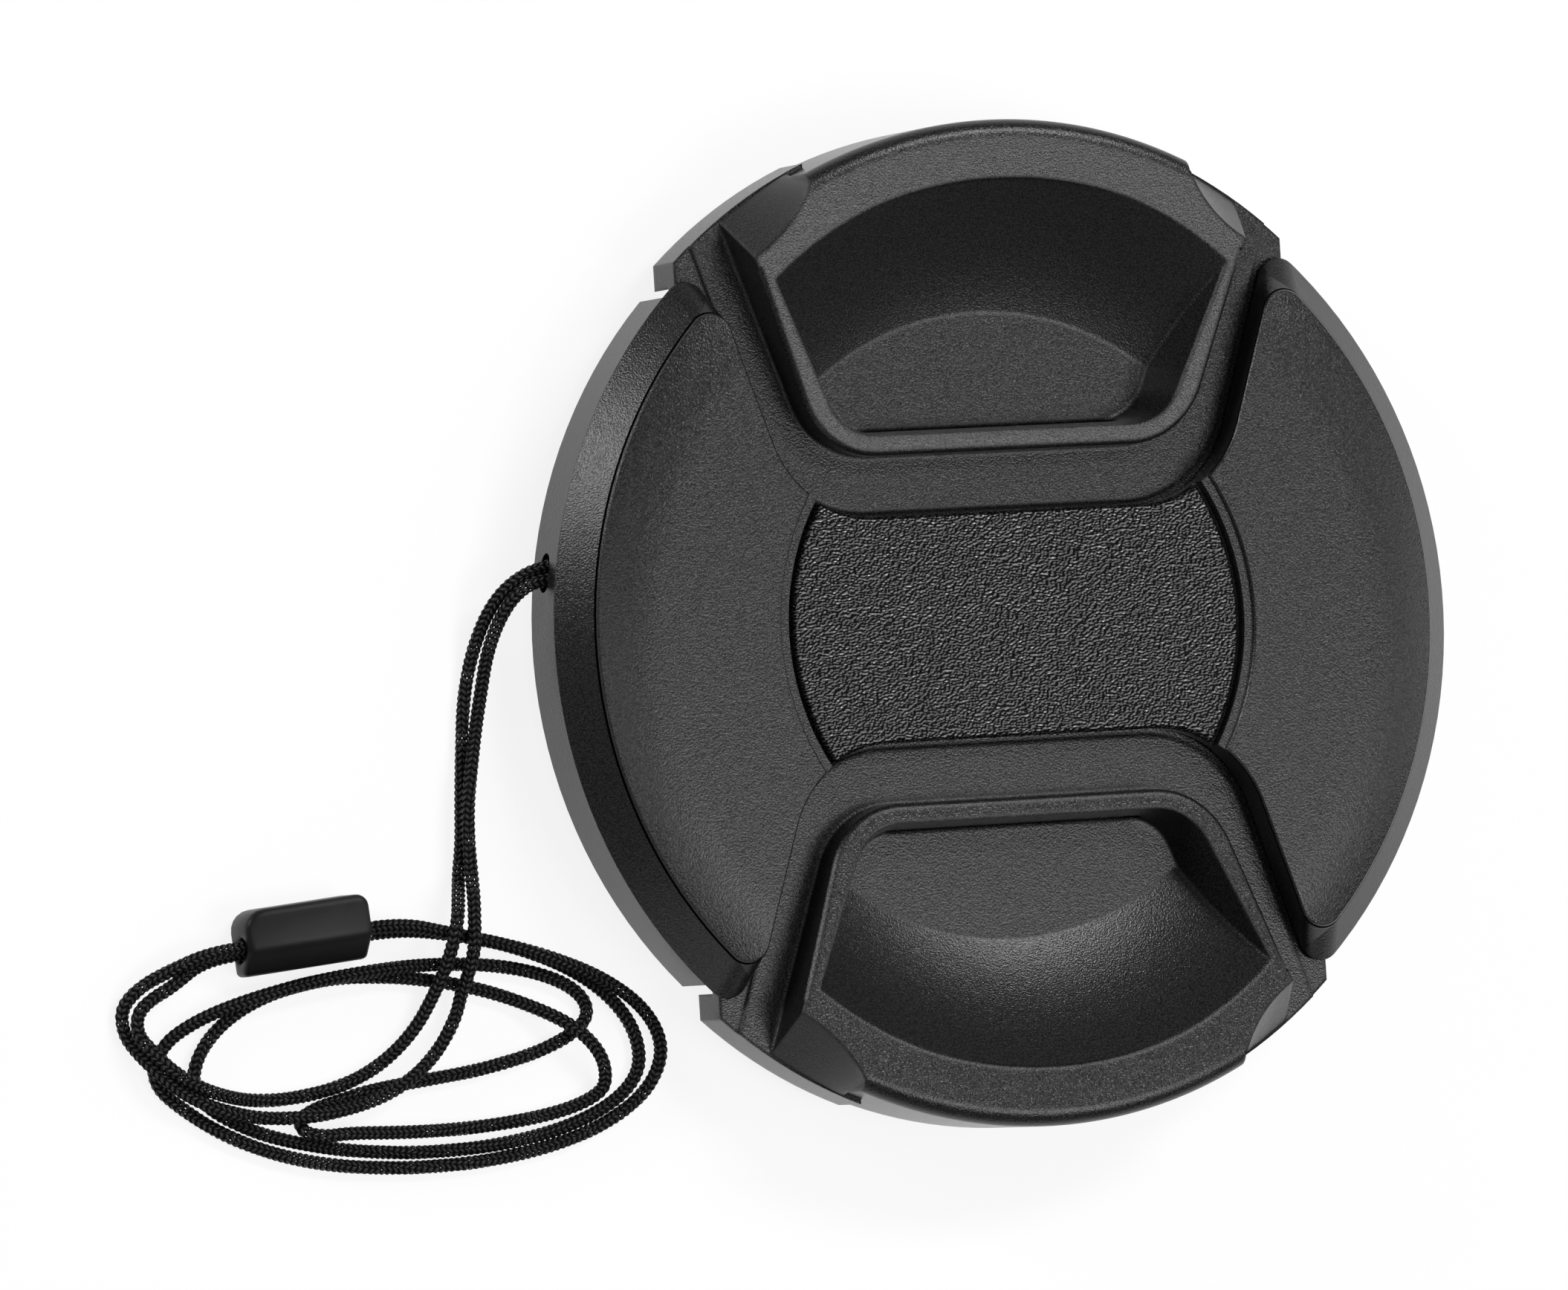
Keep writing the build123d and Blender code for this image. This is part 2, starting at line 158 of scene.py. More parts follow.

# %% [markdown]
# Near the cap the cord hangs from the hole to the floor in two strands that touch here and there.
# A formula has nothing to say about such a stretch, so its points are set one by one, with a
# height each. Short links join the turns, and inside the bead both strands run straight, one above the
# other.

# %% Strands, links and the run through the bead
outer_strand = [
    (-37.2, 6.9, 4.8), (-39.8, 6.7, 4.6), (-42.2, 5.5, 3.8), (-43.6, 3.6, 2.6), (-44.4, 1.2, 1.3),
    (-45.1, -1.6, lie), (-45.7, -4.6, lie), (-46.0, -8.0, lie), (-46.3, -11.8, lie), (-46.5, -15.2, lie),
    (-46.9, -17.6, lie), (-47.5, -19.4, 1.7), (-48.2, -21.2, 3.1), (-48.8, -23.4, 3.1), (-49.4, -25.6, 2.2),
    (-50.3, -27.8, 1.2),
]
inner_strand = [
    (-37.2, 5.5, 4.8), (-39.8, 5.8, 5.0), (-42.0, 4.6, 4.3), (-43.1, 2.5, 3.0), (-43.7, -0.1, 1.6),
    (-44.1, -3.0, 0.9), (-44.9, -6.0, 1.2), (-45.7, -9.0, 1.85), (-46.3, -12.2, 1.9), (-46.4, -15.4, 1.9),
    (-46.4, -17.8, 2.1), (-46.6, -19.8, 2.8), (-46.8, -21.6, 3.1), (-46.9, -23.6, 3.1), (-47.2, -25.6, 2.3),
    (-47.7, -27.4, 1.4),
]
left_end_inner = [(-75.9, -28.9, 1.8), (-75.7, -27.3, 1.6), (-74.4, -26.2, 1.5), (-72.6, -25.3, 1.7)]
left_end_outer = [(-73.0, -24.1, 1.8), (-75.2, -25.2, 1.1), (-76.7, -26.8, lie), (-76.6, -28.8, lie)]
fold = [
    (-60.2, -38.1, 1.6), (-61.9, -37.7, 1.3), (-62.2, -36.7, 0.8), (-60.9, -35.9, lie),
    (-58.5, -35.3, lie), (-55.7, -34.6, lie),
]
inner_link = [(-68.8, -35.9, lie), (-70.3, -34.6, lie)]
outer_link = [(-73.4, -30.2, lie), (-74.3, -31.6, lie), (-74.0, -33.3, lie)]

bead_low, bead_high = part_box("cord_lock")
bead_middle = (bead_low + bead_high) / 2 / MM
bead_turn = math.radians(5.0)
bead_run = (-8.4, -3.0, 3.0, 8.4)
bore_shift = -0.5
bore_spacing = 1.2
bore_lean = math.radians(65.0)


def through_bead(side, run):
    """Straight run of one strand through the bead; side is 1 for the upper strand and -1 for the lower."""
    along = Vector((math.cos(bead_turn), math.sin(bead_turn), 0))
    across = Vector((-math.sin(bead_turn), math.cos(bead_turn), 0))
    reach = side * bore_spacing / 2
    middle = bead_middle + across * (bore_shift + reach * math.cos(bore_lean))
    middle.z += reach * math.sin(bore_lean)
    return [tuple(middle + along * distance) for distance in run]


route = outer_strand + inner_lap + left_end_inner + through_bead(-1, bead_run)
route += inner_ring + inner_link + fallen_turn + fold + short_turn + outer_link + outer_ring
route += through_bead(1, bead_run[::-1]) + left_end_outer + outer_lap + inner_strand[::-1]
print("route of", len(route), "points")

# %% [markdown]
# A spline is only a line. Blender can give a curve a round bevel, but a knitted cord also needs a
# surface that follows its stitches, so the line is read back as closely spaced points, and a tube is
# drawn around them.

# %% Middle line of the leash
line_steps = 24
line_data = bpy.data.curves.new("leash_line", "CURVE")
line_data.dimensions = "3D"
spline = line_data.splines.new("NURBS")
spline.points.add(len(route) - 1)
for control, point in zip(spline.points, route):
    control.co = (*mm(*point), 1.0)
spline.order_u = 3
spline.use_endpoint_u = True
spline.resolution_u = line_steps
line = bpy.data.objects.new("leash_line", line_data)
bpy.context.scene.collection.objects.link(line)
line_mesh = bpy.data.meshes.new_from_object(line)
fine_line = [vertex.co.copy() for vertex in line_mesh.vertices]
bpy.data.objects.remove(line)
bpy.data.meshes.remove(line_mesh)
cord_length = sum((end - start).length for start, end in zip(fine_line, fine_line[1:]))
print("leash line", len(fine_line), "points,", round(cord_length / MM, 1), "mm long")

# %% [markdown]
# A stitch is as long all along the real cord, but the spline's points lie closer here than there.
# They could be used as they are, and the stitches would be squeezed and stretched.
# So new points are set along the line at equal steps, a whole number of them to each stitch.

# %% Evenly spaced rings
stitch = 0.51 * MM
rings_per_stitch = 4
rounding = 1e-12
ring_count = int(cord_length / stitch) * rings_per_stitch + 1
ring_step = cord_length / (ring_count - 1)


def evenly(points, step, count):
    """Points at equal distances along a line of points."""
    placed = [points[0].copy()]
    travelled = 0.0
    for start, end in zip(points, points[1:]):
        length = (end - start).length
        while len(placed) < count and travelled + length >= len(placed) * step - rounding:
            share = (len(placed) * step - travelled) / length
            placed.append(start.lerp(end, min(share, 1.0)))
        travelled += length
    while len(placed) < count:
        placed.append(points[-1].copy())
    return placed


path = evenly(fine_line, ring_step, ring_count)
print("rings", len(path), "every", round(ring_step / MM, 3), "mm")

# %% [markdown]
# The cord is knitted: columns of slanting stitches run along it, and neighbours lean opposite ways.
# Thousands of modelled stitches would be far too heavy, and a plain tube would look like wire.
# So the rings' radius rises and falls with the stitches. The rings don't twist by themselves, as each
# ring's side is carried on from the ring before, and a slow roll keeps the columns from running dead
# straight.

# %% Rings of the knitted tube
cord_sides = 24
cord_radius = cord_diameter / 2 * MM
columns = 8
lean_share = 0.5
# A stitch's height at the edges of its column, and the height at which the tube has its plain radius
column_edge = 0.6
scallop_middle = 0.65
scallop = 0.12 * MM
long_roll, long_roll_length = 1.3, 7.5 * MM
short_roll, short_roll_length, short_roll_start = 0.8, 4.9 * MM, 1.0


def stitch_height(around, stitches):
    """Rise of the stitches from 0 to 1; each column leans the other way, so that they make Vs."""
    column, inside = divmod(around * columns, 1.0)
    lean = inside if int(column) % 2 else 1 - inside
    ridge = 0.5 + 0.5 * math.cos(2 * math.pi * (stitches + lean_share * lean))
    return ridge * (column_edge + (1 - column_edge) * math.sin(math.pi * inside))


def roll(distance):
    """Slow twist of the cord as it lies."""
    slow = long_roll * math.sin(distance / long_roll_length)
    return slow + short_roll * math.sin(distance / short_roll_length + short_roll_start)


vertices = []
side = Vector((0, 0, 1))
for index, middle in enumerate(path):
    ahead = path[min(index + 1, len(path) - 1)]
    behind = path[max(index - 1, 0)]
    way = (ahead - behind).normalized()
    side = (side - way * side.dot(way)).normalized()
    across = way.cross(side)
    stitches = index / rings_per_stitch
    twist = roll(index * ring_step)
    for corner in range(cord_sides):
        share = corner / cord_sides
        radius = cord_radius + scallop * (stitch_height(share, stitches) - scallop_middle)
        swing = 2 * math.pi * share + twist
        vertices.append(middle + (side * math.cos(swing) + across * math.sin(swing)) * radius)
print("points on the tube", len(vertices))

# %% [markdown]
# The rings become a closed tube: four-sided faces between neighbouring rings and a face on each end.
# The stitches of the finish have to follow the cord round every bend, which a pattern in space can't do.
# So the tube gets a UV map that counts stitches along the cord and runs once around it.

# %% Skin and map of the leash
face_corners = ((0, 0), (0, 1), (1, 1), (1, 0))
faces = []
for ring in range(len(path) - 1):
    for corner in range(cord_sides):
        faces.append([
            (ring + ahead) * cord_sides + (corner + around) % cord_sides for ahead, around in face_corners
        ])
end_faces = [tuple(range(cord_sides))[::-1], tuple(range(len(vertices) - cord_sides, len(vertices)))]
leash_mesh = bpy.data.meshes.new("leash")
leash_mesh.from_pydata([tuple(vertex) for vertex in vertices], [], faces + end_faces)
leash_map = leash_mesh.uv_layers.new(name="braid")
for face in leash_mesh.polygons[:len(faces)]:
    ring, corner = divmod(face.index, cord_sides)
    for loop, (ahead, around) in zip(face.loop_indices, face_corners):
        leash_map.data[loop].uv = ((corner + around) / cord_sides, (ring + ahead) / rings_per_stitch)
leash_mesh.polygons.foreach_set("use_smooth", [True] * len(leash_mesh.polygons))
leash_mesh.update()
leash = bpy.data.objects.new("leash", leash_mesh)
bpy.context.scene.collection.objects.link(leash)
print("leash", sum(len(face.vertices) - 2 for face in leash_mesh.polygons), "triangles")

# %% [markdown]
# The bead is a small satin block that slides on the doubled cord to shorten its loop.
# The solid from the frame has plain bevelled ends; a close view needs rounded ones, so the bead is
# modelled here from a cube: one wide bevel makes the sloping front face, two rounder ones the back
# corners seen from above, and a last one softens every edge that is still sharp.

# %% Helpers for modelling
def only(thing):
    """Makes one object the only selected and active one."""
    bpy.ops.object.select_all(action="DESELECT")
    thing.select_set(True)
    bpy.context.view_layer.objects.active = thing


def pick_edges(thing, test):
    """Selects the edges whose two ends pass a test, and opens edit mode."""
    only(thing)
    bpy.ops.object.mode_set(mode="EDIT")
    bpy.ops.mesh.select_mode(type="EDGE")
    bpy.ops.mesh.select_all(action="DESELECT")
    bpy.ops.object.mode_set(mode="OBJECT")
    points = thing.data.vertices
    for edge in thing.data.edges:
        start, end = (points[index].co for index in edge.vertices)
        edge.select = test(start, end)
    bpy.ops.object.mode_set(mode="EDIT")


def bevel_picked(width, segments):
    """Bevels the selected edges and leaves edit mode."""
    bpy.ops.mesh.bevel(
        offset=width, segments=segments, affect="EDGES", offset_type="OFFSET", clamp_overlap=True)
    bpy.ops.object.mode_set(mode="OBJECT")


print("helpers ready")

# %% Body of the bead
bead_length, bead_width, bead_height = 10.8, 5.3, 4.0
front_chamfer, left_round, right_round, edge_round = 2.0, 1.7, 1.0, 0.45
chamfer_steps, corner_steps, edge_steps = 1, 5, 4
sharp_angle = math.radians(30)
bpy.ops.object.select_all(action="DESELECT")
bpy.ops.mesh.primitive_cube_add(size=1.0, location=(0, 0, 0))
bead = bpy.context.active_object
bead.name = "bead"
bead.scale = (bead_length, bead_width, bead_height)
bpy.ops.object.transform_apply(location=False, rotation=False, scale=True)
pick_edges(bead, lambda start, end: start.x * end.x < 0 and start.y < 0 and start.z > 0)
bevel_picked(front_chamfer, chamfer_steps)
for way, corner_round in ((-1, left_round), (1, right_round)):
    pick_edges(bead, lambda start, end: start.z * end.z < 0 and start.y > 0 and start.x * way > 0)
    bevel_picked(corner_round, corner_steps)
only(bead)
bpy.ops.object.mode_set(mode="EDIT")
bpy.ops.mesh.select_all(action="DESELECT")
bpy.ops.mesh.edges_select_sharp(sharpness=sharp_angle)
bevel_picked(edge_round, edge_steps)
print("bead with rounded back corners:", len(bead.data.polygons), "faces")

# %% [markdown]
# Both strands go through one slot in the bead. It could be left out, as the cord hides most of it, but
# its mouth shows at the left end. A cylinder pulled apart sideways is a slot, and the Boolean takes it
# out of the bead.

# %% Slot through the bead
bore_radius = 0.85
bore_sides = 32
bead_smooth_angle = math.radians(40)
bpy.ops.object.select_all(action="DESELECT")
bpy.ops.mesh.primitive_cylinder_add(
    vertices=bore_sides, radius=bore_radius, depth=2 * bead_length, rotation=(0, math.pi / 2, 0))
cutter = bpy.context.active_object
bpy.ops.object.transform_apply(location=False, rotation=True, scale=False)
cutter.rotation_euler = (math.pi / bore_sides, 0, 0)
bpy.ops.object.transform_apply(location=False, rotation=True, scale=False)
for way in (1, -1):
    pick_edges(cutter, lambda start, end: start.y * way > 0 and end.y * way > 0)
    bpy.ops.transform.translate(value=(0, way * bore_spacing / 2, 0))
    bpy.ops.object.mode_set(mode="OBJECT")
only(cutter)
cutter.rotation_euler = (bore_lean, 0, 0)
cutter.location = (0, bore_shift, 0)
bpy.ops.object.transform_apply(location=True, rotation=True, scale=False)
only(bead)
cut = bead.modifiers.new("slot", "BOOLEAN")
cut.operation = "DIFFERENCE"
cut.object = cutter
bpy.ops.object.modifier_apply(modifier="slot")
bpy.data.objects.remove(cutter)
bead.scale = (MM, MM, MM)
bead.rotation_euler = (0, 0, bead_turn)
bead.location = bead_middle * MM
bpy.ops.object.transform_apply(location=True, rotation=True, scale=True)
bpy.ops.object.shade_smooth_by_angle(angle=bead_smooth_angle)
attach(bead, "lock")
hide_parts("cord_lock")
print("bead", len(bead.data.polygons), "faces,", [round(side / MM, 1) for side in bead.dimensions], "mm")

# %% [markdown]
# Two coil springs press the latches apart. They lie inside, in pockets of the latches, and show only
# when the cap is opened. The solids from the frame are rigid, so a latch that slides inwards would cut
# into them. Here a small circle is swept into a coil by a Screw modifier, and each spring is made in two
# halves that meet in the middle.

# %% Coil springs
wire_radius = 0.2
wire_sides = 10
half_turns = 2.5
coil_steps = 60
wire_smooth_angle = math.radians(50)


def half_coil(name, node, way):
    """Half of a spring, from its middle to one latch; way is 1 for the upper half and -1 for the lower."""
    low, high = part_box(node)
    middle = (low + high) / 2
    coil_radius = (high.x - low.x) / 2 / MM - wire_radius
    reach = (high.y - low.y) / 2 / MM - wire_radius
    bpy.ops.object.select_all(action="DESELECT")
    bpy.ops.mesh.primitive_circle_add(vertices=wire_sides, radius=wire_radius, location=(coil_radius, 0, 0))
    coil = bpy.context.active_object
    coil.name = name
    bpy.ops.object.transform_apply(location=True, rotation=False, scale=False)
    sweep = coil.modifiers.new("sweep", "SCREW")
    sweep.axis = "Y"
    sweep.angle = half_turns * 2 * math.pi
    sweep.screw_offset = reach
    sweep.steps = sweep.render_steps = coil_steps
    bpy.ops.object.modifier_apply(modifier="sweep")
    bpy.ops.object.mode_set(mode="EDIT")
    bpy.ops.mesh.select_all(action="SELECT")
    bpy.ops.mesh.fill_holes(sides=0)
    bpy.ops.mesh.select_all(action="SELECT")
    bpy.ops.mesh.normals_make_consistent(inside=False)
    bpy.ops.object.mode_set(mode="OBJECT")
    coil.rotation_euler = (0 if way > 0 else math.pi, 0, 0)
    coil.scale = (MM, MM, MM)
    coil.location = middle
    bpy.ops.object.transform_apply(location=True, rotation=True, scale=True)
    bpy.ops.object.shade_smooth_by_angle(angle=wire_smooth_angle)
    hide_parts(node)
    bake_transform(coil)
    return coil


springs = [
    half_coil(f"{side_name}_{end_name}_coil", side_name + "_spring", way)
    for side_name in ("left", "right")
    for end_name, way in (("upper", 1), ("lower", -1))
]
print("springs", [(coil.name, len(coil.data.polygons)) for coil in springs])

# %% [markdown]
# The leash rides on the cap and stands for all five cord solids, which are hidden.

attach(leash, "cap")
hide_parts("outer_strand", "inner_strand", "upper_lock_strand", "lower_lock_strand", "leash_coil")
path[::2] + path[-1:]
print("leash rides on the cap")

# %% [markdown]
# Shader maths reads best as plain sums. One small class wraps a node's output, and its operators add
# Math nodes, so that a line such as 1 - mask * 0.5 builds the nodes for it.

# %% Wires
class Wire:
    """One output of a shader node, usable in sums."""

    def __init__(self, finish, socket):
        self.finish = finish
        self.socket = socket

    def beside(self, name):
        """Another output of the same node."""
        return Wire(self.finish, self.socket.node.outputs[name])

    def maths(self, operation, *values):
        return self.finish.node("ShaderNodeMath", {"operation": operation}, dict(enumerate(values)))

    def clamped(self, low, high):
        return self.maths("MINIMUM", self.maths("MAXIMUM", self, low), high)

    def __add__(self, other):
        return self.maths("ADD", self, other)

    def __radd__(self, other):
        return self.maths("ADD", other, self)

    def __sub__(self, other):
        return self.maths("SUBTRACT", self, other)

    def __rsub__(self, other):
        return self.maths("SUBTRACT", other, self)

    def __mul__(self, other):
        return self.maths("MULTIPLY", self, other)

    def __rmul__(self, other):
        return self.maths("MULTIPLY", other, self)

    def __pow__(self, other):
        return self.maths("POWER", self, other)

    def __rpow__(self, other):
        return self.maths("POWER", other, self)


print("wires ready")

# %% [markdown]
# A finish is a material. It could be wired by hand in the shader editor, but nodes that are added by
# name stay the same each time. One method adds any node: it takes the node's kind, its settings and what
# goes into its sockets. The short methods after it add the few kinds that all the finishes share.

# %% Finishes
bevel_samples = 6
mix_first, mix_second, mix_result = 6, 7, 2
cool_tint = 1.03


def grey(level):
    """A neutral colour, a touch cooler than grey."""
    return (level, level, level * cool_tint, 1.0)


class Finish:
    """A material and the methods that add nodes to it."""

    def __init__(self, name):
        self.material = bpy.data.materials.new(name)
        self.material.use_nodes = True
        self.tree = self.material.node_tree
        self.tree.nodes.clear()

    def node(self, kind, settings=None, inputs=None, output=0):
        made = self.tree.nodes.new(kind)
        for name, value in (settings or {}).items():
            setattr(made, name, value)
        for name, value in (inputs or {}).items():
            if isinstance(value, Wire):
                self.tree.links.new(value.socket, made.inputs[name])
            else:
                made.inputs[name].default_value = value
        return Wire(self, made.outputs[output]) if made.outputs else made

    def principled(self, **sockets):
        inputs = {name.replace("_", " "): value for name, value in sockets.items()}
        return self.node("ShaderNodeBsdfPrincipled", None, inputs)

    def dull(self, level, **sockets):
        return self.principled(Base_Color=grey(level), Roughness=1.0, Specular_IOR_Level=0.0, **sockets)

    def mixed(self, share, first, second):
        return self.node("ShaderNodeMixShader", None, {0: share, 1: first, 2: second})

    def surface(self, shader):
        self.node("ShaderNodeOutputMaterial", None, {"Surface": shader})
        return self.material

    def place(self):
        return self.node("ShaderNodeTexCoord", None, None, "Object")

    def noise(self, place, pitch, detail):
        inputs = {"Vector": place, "Scale": 1 / pitch, "Detail": detail}
        return self.node("ShaderNodeTexNoise", None, inputs, "Fac")

    def blend(self, share, first, second):
        inputs = {"Factor": share, mix_first: first, mix_second: second}
        return self.node("ShaderNodeMix", {"data_type": "RGBA"}, inputs, mix_result)

    def rounded(self, radius):
        return self.node("ShaderNodeBevel", {"samples": bevel_samples}, {"Radius": radius})

    def bump(self, height, depth, normal=None):
        inputs = {"Height": height, "Distance": depth}
        if normal is not None:
            inputs["Normal"] = normal
        return self.node("ShaderNodeBump", None, inputs)


def dress(names, material):
    """Gives a finish to moulded pieces."""
    for name in names:
        for slot in nodes[name].material_slots:
            slot.material = material


print("finishes ready")

# %% [markdown]
# The moulded pieces are black plastic from a spark-eroded mould: fine, even grain that scatters the light.
# The grain could be modelled, but it is a few hundredths of a millimetre deep, so a bump from fine noise
# is right, and the same noise paints light on the tops of the grain and paints shade into its hollows.
# A Bevel node rounds the shading at the edges, as a mould does, and the wings get a slight crown towards
# the rim. Where a wing's panel steps up from its chamfer, a dull black shader is mixed in at that height
# as a thin line of painted shade.

# %% Grained plastic
grain_pitch = 0.14 * MM
grain_depth = 0.034 * MM
grain_contrast = 3.0
plastic_level = 0.007
# Shares of the plastic's level for the painted shade in the grain's hollows and the painted light on its
# tops
hollow_painted_shade, top_painted_light = 0.2, 2.2
plastic_shine = 0.35
hollow_roughness, grain_roughness = 0.19, 0.1
cover_edge, latch_edge = 0.12 * MM, 0.5 * MM
# Where the wings start and stop leaning outwards, and how far they lean
wing_crown = (31.5 * MM, 37.4 * MM, 0.28)
# Lowest and highest point of the painted shadow line at the panel's step, and its least distance from the
# axis
panel_shadow_line = (9.64 * MM, 9.86 * MM, 21.5 * MM)
# Level of the dull black shader that paints the shadow line
shadow_line_level = 0.001


def from_middle(finish, place):
    """Distance from the cap's axis."""
    flat = finish.node("ShaderNodeVectorMath", {"operation": "MULTIPLY"}, {0: place, 1: (1, 1, 0)})
    return finish.node("ShaderNodeVectorMath", {"operation": "LENGTH"}, {0: flat}, "Value")


def crowned(finish, place, normal, inner, outer, tilt):
    """Leans the normal outwards between two distances from the axis, as on a slightly domed disc."""
    reach = (from_middle(finish, place) - inner).clamped(0.0, outer - inner)
    return finish.bump(reach * reach * (-0.5 * tilt / (outer - inner)), 1.0, normal)


def with_shadow_line(finish, place, shader, low, high, least):
    """Mixes a thin line of painted shade into a shader, between two heights and beyond the least distance.
    """
    height = finish.node("ShaderNodeSeparateXYZ", None, {"Vector": place}, "Z")
    radius = from_middle(finish, place)
    level = height.maths("COMPARE", height, (low + high) / 2, (high - low) / 2)
    line = level * radius.maths("GREATER_THAN", radius, least)
    # The painted shadow line: a dull black shader mixed in at the panel's step
    return finish.mixed(line, shader, finish.dull(shadow_line_level))


def grained_plastic(name, edge, crown=None, shadow_line=None):
    """Matte black plastic; edge is the radius that its edges are rounded to."""
    finish = Finish(name)
    place = finish.place()
    fine = finish.noise(place, grain_pitch, detail=1.0)
    normal = finish.rounded(edge)
    if crown:
        normal = crowned(finish, place, normal, *crown)
    # Painted shade in the grain's hollows and painted light on its tops
    colour = finish.blend(
        (fine - 0.5) * grain_contrast + 0.5,
        grey(plastic_level * hollow_painted_shade), grey(plastic_level * top_painted_light))
    shader = finish.principled(
        Base_Color=colour, Roughness=hollow_roughness + fine * grain_roughness,
        Normal=finish.bump(fine, grain_depth, normal), Specular_IOR_Level=plastic_shine)
    # Mixes in the painted shadow line at the panel's step
    if shadow_line:
        shader = with_shadow_line(finish, place, shader, *shadow_line)
    return finish.surface(shader)


dress(["front_cover", "back_cover"], grained_plastic("cover_plastic", cover_edge, wing_crown, panel_shadow_line))
dress(["upper_latch", "lower_latch"], grained_plastic("latch_plastic", latch_edge))
print("grained plastics on the covers and the latches")

# %% [markdown]
# The centre plate is moulded with a leather grain: small bumps, a little wider than high. A picture of
# leather would do, but one octave of noise already has such bumps. The same noise, read a little further
# on, tells which way a bump slopes, and a Mix Shader turns that into painted light: a painted sheen on
# the bumps' upper sides and painted shade, a dull dark shader, on their lower sides.

# %% Leather grain of the centre plate
leather_pitch = 0.21 * MM
leather_depth = 0.05 * MM
leather_stretch = (0.8, 1.15, 1.0)
leather_step = (0.035 * MM, -0.06 * MM, 0.0)
leather_contrast = 6.0
# Painted sheen where a bump is flat, and the least of it on the shaded lower sides
flat_painted_sheen, least_painted_sheen = 0.19, 0.02
plate_edge = 0.2 * MM
# Level of the dull shader that paints shade on the bumps' lower sides
lower_side_shade = 0.002


def leather_plastic(name):
    """Black plastic with a leather grain."""
    finish = Finish(name)
    stretched = {"Vector": finish.place(), "Scale": leather_stretch}
    here = finish.node("ShaderNodeMapping", None, stretched)
    further = finish.node("ShaderNodeMapping", None, {**stretched, "Location": leather_step})
    height = finish.noise(here, leather_pitch, detail=0.0)
    slope = height - finish.noise(further, leather_pitch, detail=0.0)
    # Painted sheen on the bumps' upper sides, painted shade on their lower sides
    painted_sheen = (slope * -leather_contrast + flat_painted_sheen).clamped(least_painted_sheen, 1.0)
    upper = finish.principled(
        Base_Color=grey(plastic_level), Roughness=0.3, IOR=1.8, Specular_IOR_Level=0.58,
        Normal=finish.bump(height, leather_depth, finish.rounded(plate_edge)))
    return finish.surface(finish.mixed(painted_sheen, finish.dull(lower_side_shade), upper))


dress(["centre_plate"], leather_plastic("plate_plastic"))
print("leather grain on the centre plate")

# %% [markdown]
# The cord is knitted from black nylon: rows of stitches that lean left and right in turn, like a row of
# Vs. The tube has the stitches' rough shape, and the finish draws them finely on the tube's own UV map,
# with painted shade between the stitches: a dull, darker shader.
# Where four stitches meet there is a small gap, left open by Alpha, so that light shows through here and
# there.

# %% Knitted nylon
yarn_pitch = 0.025
yarn_share = 0.2
knit_depth = 0.12 * MM
# Colour of the yarn's loops, and the level of the painted shade between the stitches
loop_level, shade_between_stitches = 0.012, 0.003
gap_limit = 0.5


def knitted_nylon(name):
    """Black knitted nylon: V-shaped stitches, with open gaps where four stitches meet."""
    finish = Finish(name)
    on_cord = finish.node("ShaderNodeUVMap", {"uv_map": "braid"})
    turn = finish.node("ShaderNodeSeparateXYZ", None, {"Vector": on_cord}, "X")
    around = turn * columns
    inside = around.maths("FRACT", around)
    lean = around.maths("PINGPONG", around, 1.0)
    phase = turn.beside("Y") + (1 - lean) * lean_share
    wave = phase.maths("COSINE", phase * (2 * math.pi)) * 0.5 + 0.5
    edge = inside.maths("ABSOLUTE", inside * 2 - 1) ** 3
    gap = edge * (1 - wave) ** 2
    loop = wave * (1 - edge)
    yarn = finish.noise(on_cord, yarn_pitch, detail=1.0)
    relief = finish.bump(loop * (1 - yarn_share) + yarn * yarn_share, knit_depth)
    closed = 1 - gap.maths("GREATER_THAN", gap, gap_limit)
    shiny = finish.principled(
        Base_Color=grey(loop_level), Roughness=0.3, Normal=relief, Specular_IOR_Level=0.5, Alpha=closed)
    # Painted shade between the stitches, mixed in by the loops' mask
    return finish.surface(finish.mixed(loop, finish.dull(shade_between_stitches, Alpha=closed), shiny))


leash.data.materials.append(knitted_nylon("knitted_nylon"))
print("knitted nylon on the leash")

# %% [markdown]
# The bead is a small satin moulding: its flat faces are never quite flat, so a broad, faint wave bends
# the shine. The springs are hidden inside, but show in the cap's section and when it is taken apart:
# drawn steel wire. Both could do with one plain colour, but a little noise keeps them from looking
# painted.

# %% Satin plastic and spring wire
wave_pitch, wave_height = 2.5 * MM, 0.02
speck_pitch, speck_height = 0.12 * MM, 0.005
satin_low, satin_high = 0.005, 0.009
satin_roughness, wave_roughness = 0.32, 0.1
bead_edge = 0.6 * MM
streak_pitch = 0.2 * MM
dark_steel, light_steel = (0.42, 0.42, 0.43, 1), (0.62, 0.62, 0.63, 1)
steel_roughness, streak_roughness = 0.25, 0.15


def satin_plastic(name):
    """Satin black plastic with the faint waviness of a small moulding."""
    finish = Finish(name)
    place = finish.place()
    wave = finish.noise(place, wave_pitch, detail=2.0)
    speck = finish.noise(place, speck_pitch, detail=1.0)
    relief = finish.bump(wave * wave_height + speck * speck_height, MM, finish.rounded(bead_edge))
    return finish.surface(finish.principled(
        Base_Color=finish.blend(wave, grey(satin_low), grey(satin_high)),
        Roughness=satin_roughness + wave * wave_roughness, Normal=relief, Specular_IOR_Level=0.14))


def spring_wire(name):
    """Drawn steel wire."""
    finish = Finish(name)
    streak = finish.noise(finish.place(), streak_pitch, detail=2.0)
    return finish.surface(finish.principled(
        Base_Color=finish.blend(streak, dark_steel, light_steel), Metallic=1.0,
        Roughness=steel_roughness + streak * streak_roughness))


